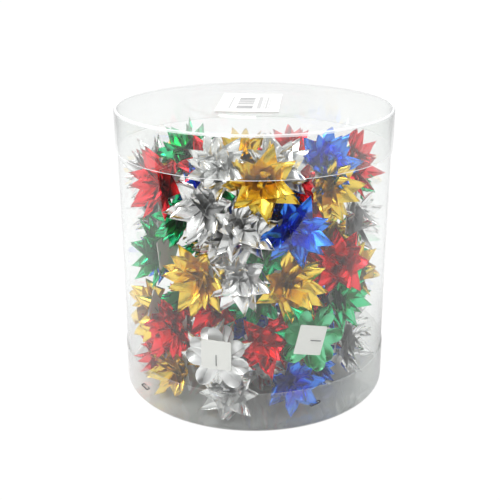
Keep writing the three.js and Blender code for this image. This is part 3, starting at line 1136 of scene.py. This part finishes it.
@dataclass
class BowMaker:
    """Builds star bows from the ribbon loop with one node tree."""

    finishes: Finishes
    mould: bpy.types.Object
    open_mould: bpy.types.Object
    tub: Tub
    hub: float = 2.5 * MM
    back_drop: float = 8 * MM
    tiers: tuple = ((7, 13.0, 1.06), (5, 35.0, 1.03), (3, 59.0, 0.92), (1, 84.0, 0.72))
    tier_turn: float = 0.5
    turn_stray: float = 0.22
    lift_stray: float = 0.14
    roll_stray: float = 0.45
    length_stray: float = 0.07
    openness: float = 1.2
    openness_stray: float = 0.55
    wall_gap: float = 0.4 * MM
    lid_gap: float = 6 * MM
    floor_gap: float = 0.3 * MM
    press_room: float = 5 * MM
    floor_press: float = 4 * MM
    tree: bpy.types.NodeTree = field(init=False)

    def __post_init__(self) -> None:
        """Build the node tree once."""
        self.tree = self._bow_tree()

    def _bow_tree(self) -> bpy.types.NodeTree:
        """Node tree that sets tiers of loops round the bow's middle.

        Returns:
            The geometry node tree.
        """
        tree = bpy.data.node_groups.new("star_bow", "GeometryNodeTree")
        sockets = [
            ("Geometry", "Geometry"),
            ("Loop", "Object"),
            ("Foil", "Material"),
            ("Size", "Float"),
            ("Untidiness", "Float"),
            ("Seed", "Int"),
        ]
        for tier in range(len(self.tiers)):
            sockets += [(f"Loops {tier}", "Int"), (f"Tilt {tier}", "Float"), (f"Length {tier}", "Float")]
        for word, kind in sockets:
            tree.interface.new_socket(name=word, in_out="INPUT", socket_type=f"NodeSocket{kind}")
        tree.interface.new_socket(name="Geometry", in_out="OUTPUT", socket_type="NodeSocketGeometry")
        given = tree.nodes.new("NodeGroupInput")
        source = tree.nodes.new("GeometryNodeObjectInfo")
        tree.links.new(given.outputs["Loop"], source.inputs["Object"])
        join = tree.nodes.new("GeometryNodeJoinGeometry")
        for tier in range(len(self.tiers)):
            tree.links.new(self._tier(tree, given, source, tier), join.inputs["Geometry"])
        realize = tree.nodes.new("GeometryNodeRealizeInstances")
        tree.links.new(join.outputs["Geometry"], realize.inputs["Geometry"])
        dress = tree.nodes.new("GeometryNodeSetMaterial")
        tree.links.new(realize.outputs["Geometry"], dress.inputs["Geometry"])
        tree.links.new(given.outputs["Foil"], dress.inputs["Material"])
        out = tree.nodes.new("NodeGroupOutput")
        tree.links.new(dress.outputs["Geometry"], out.inputs["Geometry"])
        return tree

    def _tier(
        self, tree: bpy.types.NodeTree, given: bpy.types.Node, source: bpy.types.Node, tier: int
    ) -> bpy.types.NodeSocket:
        """One ring of loops.

        Args:
            tree: The bow tree.
            given: Its group input.
            source: Object Info node of the loop.
            tier: Which tier, from 0 at the back.

        Returns:
            Socket of the ring's instances.
        """
        points = tree.nodes.new("GeometryNodePoints")
        tree.links.new(given.outputs[f"Loops {tier}"], points.inputs["Count"])
        index = tree.nodes.new("GeometryNodeInputIndex").outputs["Index"]
        turn = math_node(tree, "DIVIDE", index, given.outputs[f"Loops {tier}"])
        turn = math_node(tree, "MULTIPLY_ADD", turn, 2 * math.pi, self.tier_turn * tier)
        turn = math_node(tree, "ADD", turn, self._stray(tree, given, 10 * tier + 1, self.turn_stray))
        lift = math_node(tree, "MULTIPLY", given.outputs[f"Tilt {tier}"], -math.pi / 180)
        lift = math_node(tree, "ADD", lift, self._stray(tree, given, 10 * tier + 2, self.lift_stray))
        pose = tree.nodes.new("ShaderNodeCombineXYZ")
        tree.links.new(self._stray(tree, given, 10 * tier + 3, self.roll_stray), pose.inputs["X"])
        tree.links.new(lift, pose.inputs["Y"])
        tree.links.new(turn, pose.inputs["Z"])
        rotation = tree.nodes.new("FunctionNodeEulerToRotation")
        tree.links.new(pose.outputs["Vector"], rotation.inputs["Euler"])
        grown = math_node(tree, "ADD", self._stray(tree, given, 10 * tier + 4, self.length_stray), 1.0)
        grown = math_node(tree, "MULTIPLY", grown, given.outputs[f"Length {tier}"])
        grown = math_node(tree, "MULTIPLY", grown, given.outputs["Size"])
        swollen = self._stray(tree, given, 10 * tier + 5, self.openness_stray)
        swollen = math_node(tree, "ADD", swollen, self.openness)
        sizes = tree.nodes.new("ShaderNodeCombineXYZ")
        tree.links.new(grown, sizes.inputs["X"])
        tree.links.new(grown, sizes.inputs["Y"])
        tree.links.new(math_node(tree, "MULTIPLY", grown, swollen), sizes.inputs["Z"])
        place = tree.nodes.new("GeometryNodeInstanceOnPoints")
        tree.links.new(points.outputs["Points"], place.inputs["Points"])
        tree.links.new(source.outputs["Geometry"], place.inputs["Instance"])
        tree.links.new(rotation.outputs["Rotation"], place.inputs["Rotation"])
        tree.links.new(sizes.outputs["Vector"], place.inputs["Scale"])
        return place.outputs["Instances"]

    @staticmethod
    def _stray(
        tree: bpy.types.NodeTree, given: bpy.types.Node, salt: int, reach: float
    ) -> bpy.types.NodeSocket:
        """Random offset of each loop.

        Args:
            tree: The bow tree.
            given: Its group input.
            salt: Added to the seed so that each use differs.
            reach: Largest offset at untidiness 1.

        Returns:
            The offset's socket.
        """
        chance = tree.nodes.new("FunctionNodeRandomValue")
        chance.data_type = "FLOAT"
        chance.inputs[2].default_value = -reach
        chance.inputs[3].default_value = reach
        seed = math_node(tree, "ADD", given.outputs["Seed"], float(salt))
        tree.links.new(seed, chance.inputs["Seed"])
        return math_node(tree, "MULTIPLY", chance.outputs[1], given.outputs["Untidiness"])

    def _host(self, place: BowPlace, seed: int) -> bpy.types.Object:
        """Object that carries the tree with one bow's inputs.

        Args:
            place: The bow.
            seed: Its seed, which is its number.

        Returns:
            The host object.
        """
        host = bpy.data.objects.new(f"host_{seed}", bpy.data.meshes.new("host"))
        bpy.context.scene.collection.objects.link(host)
        modifier = host.modifiers.new("star_bow", "NODES")
        modifier.node_group = self.tree
        values = {
            "Loop": self.open_mould if seed in SHOWN_BACKS else self.mould,
            "Foil": self.finishes.foils[place.foil],
            "Size": float(place.size),
            "Untidiness": 1.0,
            "Seed": SEED_STEP * seed,
        }
        for tier, (loops, tilt, length) in enumerate(self.tiers):
            values[f"Loops {tier}"] = loops
            values[f"Tilt {tier}"] = tilt
            values[f"Length {tier}"] = length
        for item in self.tree.interface.items_tree:
            if item.in_out == "INPUT" and item.name in values:
                modifier[item.identifier] = values[item.name]
        return host

    def frame_of(self, place: BowPlace) -> Matrix:
        """Frame of a bow, at the middle of its solid.

        Args:
            place: The bow.

        Returns:
            Matrix whose +Z is the way the bow faces.
        """
        angle = math.radians(place.around)
        reach = self.tub.inside() - place.depth * MM
        centre = Vector((reach * math.sin(angle), -reach * math.cos(angle), place.share * self.tub.height))
        return facing(centre, place.around, place.tilt, place.swing, place.spin)

    def make(self, places: list[tuple[str, BowPlace]]) -> list[bpy.types.Mesh]:
        """Make the foil meshes of many bows at once.

        Args:
            places: Name and place of each bow.

        Returns:
            One mesh for each bow, in the row frame.
        """
        hosts = [self._host(place, number + 1) for number, (_, place) in enumerate(places)]
        ready = bpy.context.evaluated_depsgraph_get()
        meshes = []
        for host, (name, place) in zip(hosts, places):
            mesh = bpy.data.meshes.new_from_object(host.evaluated_get(ready), depsgraph=ready)
            mesh.name = name
            self._settle(mesh, place)
            meshes.append(mesh)
        for host in hosts:
            bpy.data.objects.remove(host)
        return meshes

    def _settle(self, mesh: bpy.types.Mesh, place: BowPlace) -> None:
        """Move a bow into the tub and press it in where it meets wall, floor or lid.

        Args:
            mesh: The bow's mesh, about its own middle.
            place: Where it goes.
        """
        points = np.zeros(len(mesh.vertices) * 3)
        mesh.vertices.foreach_get("co", points)
        points = points.reshape(-1, 3)
        points[:, 2] += self.hub - self.back_drop * place.size
        matrix = np.array(self.frame_of(place))
        points = points @ matrix[:3, :3].T + matrix[:3, 3]
        reach = np.hypot(points[:, 0], points[:, 1])
        held = pressed(reach, self.tub.inside() - self.press_room, self.tub.inside() - self.wall_gap)
        points[:, :2] *= (held / np.maximum(reach, 1e-6))[:, None]
        ceiling = self.tub.height - self.lid_gap
        points[:, 2] = pressed(points[:, 2], ceiling - self.press_room, ceiling)
        floor = self.tub.rise + self.tub.sheet + self.floor_gap
        points[:, 2] = -pressed(-points[:, 2], -floor - self.floor_press, -floor)
        mesh.vertices.foreach_set("co", points.ravel())
        mesh.update()


def pressed(values: np.ndarray, start: float, limit: float) -> np.ndarray:
    """Squeeze values smoothly so that none passes a limit.

    Args:
        values: Values to squeeze.
        start: Where the squeeze starts.
        limit: Limit that is only neared.

    Returns:
        The squeezed values.
    """
    room = limit - start
    return np.where(values > start, limit - room * np.exp(-np.maximum(values - start, 0) / room), values)


def scattered(pick: int, stride: int, span: int, low: int) -> int:
    """Angle that hops about its range from one bow to the next.

    Args:
        pick: Number of the bow.
        stride: Degrees that it moves on for each bow.
        span: Width of the range in degrees.
        low: Start of the range in degrees.

    Returns:
        The angle in degrees.
    """
    return pick * stride % span + low


def heart_bows(maker: BowMaker) -> list[BowPlace]:
    """Fill the rest of the tub with bows between those that have a CAD solid.

    Args:
        maker: Gives the frames of the bows.

    Returns:
        Places of the added bows.
    """
    added = list(BEHIND_THE_FRONT)
    taken = [maker.frame_of(place).translation for place in (*BOWS, *added)]
    for depth, step, gap in HEART_RINGS:
        for level in range(HEART_LEVELS):
            for turn in range(0, 360, step):
                pick = len(added)
                place = BowPlace(
                    foil=HEART_COLOURS[pick % len(HEART_COLOURS)],
                    around=turn + HEART_START + HEART_STAGGER * level,
                    share=HEART_FOOT + HEART_RISE * level,
                    depth=depth,
                    tilt=scattered(pick, 37, 40, -10),
                    swing=scattered(pick, 53, 60, -30),
                    spin=scattered(pick, 29, 60, 0),
                    size=HEART_SIZE,
                )
                spot = maker.frame_of(place).translation
                if min((spot - other).length for other in taken) >= gap:
                    taken.append(spot)
                    added.append(place)
    return added


@dataclass
class Backing:
    """Sticky pad with its liner paper, and the staple that closes a bow."""

    finishes: Finishes
    maker: BowMaker
    side: float = 21 * MM
    thickness: float = 0.7 * MM
    gap: float = 0.3 * MM
    slip: float = 4 * MM
    corner: float = 0.8 * MM
    wall_gap: float = 0.3 * MM
    floor_gap: float = 0.4 * MM
    crown: float = 8 * MM
    legs: float = 4 * MM
    bend: float = 0.4 * MM
    wire: float = 0.28 * MM
    wire_gap: float = 0.35 * MM

    def _liner(self, place: BowPlace, slip: float = 0.0) -> tuple[list, list]:
        """Square pad with rounded corners under a bow.

        Args:
            place: The bow.
            slip: How far it sits off the bow's middle.

        Returns:
            Points in the row frame, and faces.
        """
        matrix = self.maker.frame_of(place)
        top = -self.maker.back_drop * place.size - self.gap
        flat = self.side / 2 - self.corner
        ring = []
        for sx, sy, start in ((1, 1, 0), (-1, 1, 90), (-1, -1, 180), (1, -1, 270)):
            arc = quarter(sx * flat, sy * flat, self.corner, start, start + 90, 3)
            ring.extend(arc)
        count = len(ring)
        points = [matrix @ Vector((x + slip, y, z)) for z in (top - self.thickness, top) for x, y in ring]
        faces = [tuple(reversed(range(count))), tuple(range(count, 2 * count))]
        for index in range(count):
            after = (index + 1) % count
            faces.append((index, after, after + count, index + count))
        return points, faces

    def _keep_in(self, points: list) -> np.ndarray:
        """Bend a liner's points in from the wall.

        Args:
            points: Points in the row frame.

        Returns:
            The points, none outside the tub.
        """
        spots = np.array([tuple(p) for p in points])
        reach = np.hypot(spots[:, 0], spots[:, 1])
        limit = self.maker.tub.inside() - self.wall_gap
        spots[:, :2] *= (np.minimum(reach, limit) / reach)[:, None]
        spots[:, 2] = np.maximum(spots[:, 2], self.maker.tub.sheet + self.floor_gap)
        return spots

    def shown(self, number: int, place: BowPlace) -> None:
        """Separate liner and staple of a bow whose back shows.

        Args:
            number: Number of the bow.
            place: The bow.
        """
        points, faces = self._liner(place, self.slip)
        name = f"bow_{number:02d}_liner"
        mesh = mesh_from(f"{name}_paper", self._keep_in(points), faces, smooth=False)
        mesh.materials.append(self.finishes.paper)
        place_piece(f"{name}_paper", mesh, "tub", (name,))
        matrix = self.maker.frame_of(place)
        under = -self.maker.back_drop * place.size - self.gap - self.thickness - self.wire_gap
        half = self.crown / 2
        left = [(-half, under + self.legs), (-half, under + self.bend), (self.bend - half, under)]
        name = f"bow_{number:02d}_staple"
        mesh = wire_mesh(name, staple_path(left, matrix), self.wire)
        mesh.materials.append(self.finishes.wire)
        place_piece(f"{name}_wire", mesh, "tub", (name,))
        log.info("bow %02d liner and staple", number)

    def hidden(self, name: str, places: list[BowPlace], body: str) -> None:
        """Liners of bows that face outwards, as one piece.

        Args:
            name: Name of the piece.
            places: The bows.
            body: CAD body that they ride on.
        """
        points: list = []
        faces: list = []
        for place in places:
            more, quads = self._liner(place)
            faces += [tuple(i + len(points) for i in quad) for quad in quads]
            points += more
        mesh = mesh_from(name, self._keep_in(points), faces, smooth=False)
        mesh.materials.append(self.finishes.paper)
        place_piece(name, mesh, body)
        log.info("%s: %d liners", name, len(places))


@dataclass
class Studio:
    """Pale floor with a painted shadow under the tub, soft light, dark flag and camera. None of it is part
    of the object.
    """

    distance: float = 608 * MM
    height: float = 321 * MM
    pitch: float = 20.31
    lens: float = 61.8
    shift: float = -0.0086
    backdrop: float = 1.03
    level: float = 0.88
    behind_gain: float = 0.1
    above_gain: float = 0.24
    front_edge: float = -0.3
    front_top: float = 0.3
    front_dim: float = 0.62
    sheets_passed: float = 3.5
    floor_reach: float = 6
    floor_height: float = -0.4 * MM
    floor_grey: float = 0.76
    # Painted shadow on the floor under the tub, seen by the camera only: its darkest value, the half
    # width, how much and how steeply it lightens towards the sides, its lightest value, and the radii
    # where it ends
    under_tub: float = 0.3
    under_half: float = 98 * MM
    under_sides: float = 1.1
    under_power: float = 2.4
    under_limit: float = 0.95
    under_radius: tuple = (0.097, 0.0985)
    flag_height: float = 0.5 * MM
    flag_near: tuple = (
        (-1.6, -0.3),
        (-0.75, -0.12),
        (-0.42, -0.17),
        (-0.32, -0.29),
        (-0.16, -0.415),
        (-0.02, -0.45),
    )
    flag_far: tuple = ((0.475, -0.45), (0.475, -3), (-1.6, -3))
    lamp_power: float = 9
    lamp_size: tuple = (0.9, 0.6)
    lamp_place: tuple = (-0.35, -0.35, 1.15)
    lamp_aim: tuple = (0, 0, 0.1)

    def build(self) -> None:
        """Set the whole studio."""
        self._camera()
        self._surroundings()
        self._floor()
        self._flag()
        self._softbox()
        scene = bpy.context.scene
        scene.view_settings.view_transform = "Standard"
        scene.cycles.transparent_max_bounces = CLEAR_BOUNCES
        scene.cycles.max_bounces = BOUNCES

    def _camera(self) -> None:
        """Camera at the height and angle of a seated viewer."""
        data = bpy.data.cameras.new("camera")
        data.sensor_width = 36
        data.lens = self.lens
        data.shift_x = self.shift
        camera = bpy.data.objects.new("camera", data)
        camera.location = (0, -self.distance, self.height)
        camera.rotation_euler = (math.radians(90 - self.pitch), 0, 0)
        bpy.context.scene.collection.objects.link(camera)
        bpy.context.scene.camera = camera

    def _surroundings(self) -> None:
        """White backdrop, brighter behind and above; its low front is dim as seen from inside the tub."""
        world = bpy.data.worlds.new("studio")
        bpy.context.scene.world = world
        world.use_nodes = True
        tree = world.node_tree
        light = tree.nodes["Background"]
        place = tree.nodes.new("ShaderNodeTexCoord")
        split = tree.nodes.new("ShaderNodeSeparateXYZ")
        tree.links.new(place.outputs["Generated"], split.inputs["Vector"])
        behind = math_node(tree, "MULTIPLY_ADD", split.outputs["Y"], self.behind_gain, self.level)
        above = math_node(tree, "MULTIPLY_ADD", split.outputs["Z"], self.above_gain, behind)
        front = math_node(tree, "LESS_THAN", split.outputs["Y"], self.front_edge)
        low = math_node(tree, "LESS_THAN", split.outputs["Z"], self.front_top)
        path = tree.nodes.new("ShaderNodeLightPath")
        inside = math_node(tree, "GREATER_THAN", path.outputs["Transparent Depth"], self.sheets_passed)
        where = math_node(tree, "MULTIPLY", math_node(tree, "MULTIPLY", front, low), inside)
        dimmed = math_node(tree, "MULTIPLY", where, -self.front_dim)
        total = math_node(tree, "MULTIPLY_ADD", dimmed, above, above)
        mixed = tree.nodes.new("ShaderNodeMix")
        mixed.inputs["B"].default_value = self.backdrop
        tree.links.new(path.outputs["Is Camera Ray"], mixed.inputs["Factor"])
        tree.links.new(total, mixed.inputs["A"])
        tree.links.new(mixed.outputs["Result"], light.inputs["Strength"])
        light.inputs["Color"].default_value = (1, 1, 1, 1)

    @staticmethod
    def _plate(
        name: str, corners: list[tuple[float, float]], height: float, material: bpy.types.Material
    ) -> bpy.types.Object:
        """Flat stage plate.

        Args:
            name: Name of the plate.
            corners: Corners in metres.
            height: Height in metres.
            material: Its material.

        Returns:
            The plate.
        """
        points = np.array([(x, y, height) for x, y in corners])
        mesh = mesh_from(name, points, [tuple(range(len(corners)))], smooth=False)
        mesh.materials.append(material)
        plate = bpy.data.objects.new(name, mesh)
        bpy.context.scene.collection.objects.link(plate)
        return plate

    def _floor(self) -> None:
        """Pale table top that runs out of sight. To the camera it glows evenly white round the tub and
        carries a painted shadow under it, darkest in the middle and painted lighter towards the sides.
        """
        material, tree, shader = new_material("pale_floor")
        path = tree.nodes.new("ShaderNodeLightPath")
        shader.inputs["Roughness"].default_value = 0.9
        shader.inputs["Specular IOR Level"].default_value = 0.0
        place = tree.nodes.new("ShaderNodeTexCoord")
        reach = tree.nodes.new("ShaderNodeVectorMath")
        reach.operation = "LENGTH"
        tree.links.new(place.outputs["Object"], reach.inputs[0])
        clear = tree.nodes.new("ShaderNodeMapRange")
        clear.inputs["From Min"].default_value = self.under_radius[0]
        clear.inputs["From Max"].default_value = self.under_radius[1]
        tree.links.new(reach.outputs["Value"], clear.inputs["Value"])
        seen = math_node(tree, "MULTIPLY", path.outputs["Is Camera Ray"], clear.outputs["Result"])
        split = tree.nodes.new("ShaderNodeSeparateXYZ")
        tree.links.new(place.outputs["Object"], split.inputs["Vector"])
        # Painted shadow: darkest under the middle of the tub, painted lighter towards its sides
        aside = math_node(tree, "ABSOLUTE", split.outputs["X"])
        aside = math_node(tree, "MULTIPLY", aside, 1 / self.under_half)
        aside = math_node(tree, "POWER", aside, self.under_power)
        painted_shadow_aside = math_node(tree, "MULTIPLY_ADD", aside, self.under_sides, self.under_tub)
        painted_shadow_aside = math_node(tree, "MINIMUM", painted_shadow_aside, self.under_limit)
        under = math_node(tree, "SUBTRACT", 1.0, clear.outputs["Result"])
        painted_shade = math_node(tree, "MULTIPLY", under, painted_shadow_aside)
        # Camera rays take the painted shadow as the floor's colour; other rays see the plain grey floor
        mixed = tree.nodes.new("ShaderNodeMix")
        mixed.inputs["A"].default_value = self.floor_grey
        tree.links.new(path.outputs["Is Camera Ray"], mixed.inputs["Factor"])
        tree.links.new(painted_shade, mixed.inputs["B"])
        tree.links.new(mixed.outputs["Result"], shader.inputs["Base Color"])
        shader.inputs["Emission Color"].default_value = (1, 1, 1, 1)
        glow = math_node(tree, "MULTIPLY", seen, self.backdrop)
        tree.links.new(glow, shader.inputs["Emission Strength"])
        far = self.floor_reach
        corners = [(-far, -far), (far, -far), (far, far), (-far, far)]
        self._plate("floor", corners, self.floor_height, material)

    def _flag(self) -> None:
        """Dark card in front, low on the table, that only the clear walls mirror."""
        material, tree, shader = new_material("dark_flag")
        shader.inputs["Base Color"].default_value = (0.02, 0.02, 0.02, 1)
        shader.inputs["Roughness"].default_value = 0.9
        path = tree.nodes.new("ShaderNodeLightPath")
        open_air = tree.nodes.new("ShaderNodeBsdfTransparent")
        passed = tree.nodes.new("ShaderNodeMixShader")
        walls = math_node(tree, "GREATER_THAN", path.outputs["Transparent Depth"], self.sheets_passed)
        tree.links.new(walls, passed.inputs["Fac"])
        tree.links.new(shader.outputs["BSDF"], passed.inputs[1])
        tree.links.new(open_air.outputs["BSDF"], passed.inputs[2])
        tree.links.new(passed.outputs["Shader"], tree.nodes["Material Output"].inputs["Surface"])
        flag = self._plate("flag", [*self.flag_near, *self.flag_far], self.flag_height, material)
        flag.visible_camera = False
        flag.visible_diffuse = False
        flag.visible_shadow = False

    def _softbox(self) -> None:
        """Large soft lamp overhead."""
        lamp = bpy.data.lights.new("softbox", "AREA")
        lamp.shape = "RECTANGLE"
        lamp.size, lamp.size_y = self.lamp_size
        lamp.energy = self.lamp_power
        holder = bpy.data.objects.new("softbox", lamp)
        holder.location = self.lamp_place
        aim = Vector(self.lamp_aim) - Vector(holder.location)
        holder.rotation_euler = aim.to_track_quat("-Z", "Y").to_euler()
        bpy.context.scene.collection.objects.link(holder)


def build_bows(finishes: Finishes, tub: Tub) -> None:
    """Make every bow and its backing.

    Args:
        finishes: The tub's materials.
        tub: The tub that holds them.
    """
    mould = RibbonLoop().build()
    open_mould = RibbonLoop(width=10 * MM, cone=27, flatten=0.9, waist=0.4).build()
    maker = BowMaker(finishes, mould, open_mould, tub)
    backing = Backing(finishes, maker)
    extra = heart_bows(maker)
    named = [(f"bow_{n + 1:02d}_{place.foil.word}", place) for n, place in enumerate(BOWS)]
    more = [(f"heart_bow_{n + 1:02d}_{place.foil.word}", place) for n, place in enumerate(extra)]
    meshes = maker.make(named + more)
    bpy.data.objects.remove(mould)
    bpy.data.objects.remove(open_mould)
    for number, (mesh, (name, place)) in enumerate(zip(meshes, named + more), start=1):
        body = LOOSE_ON_TOP.get(number, "tub")
        nodes = (name,) if number <= len(BOWS) else ()
        place_piece(f"{name}_ribbon", mesh, body, nodes)
        log.info("%s: %d faces", name, len(mesh.polygons))
    hidden = []
    for number, place in enumerate(BOWS, start=1):
        if number in SHOWN_BACKS:
            backing.shown(number, place)
        elif number in LOOSE_ON_TOP:
            backing.hidden(f"bow_{number:02d}_liner_paper", [place], LOOSE_ON_TOP[number])
        else:
            hidden.append(place)
    backing.hidden("bow_liners_paper", hidden, "tub")


def main() -> None:
    """Build the studio, the tub, its label and its bows, logging each piece as it is made."""
    logging.basicConfig(level=logging.INFO, format="%(name)s %(message)s")
    Studio().build()
    finishes = Finishes()
    tub = Tub(finishes)
    tub.build()
    LidLabel(finishes).build()
    build_bows(finishes, tub)


if __name__ == "__main__":
    main()
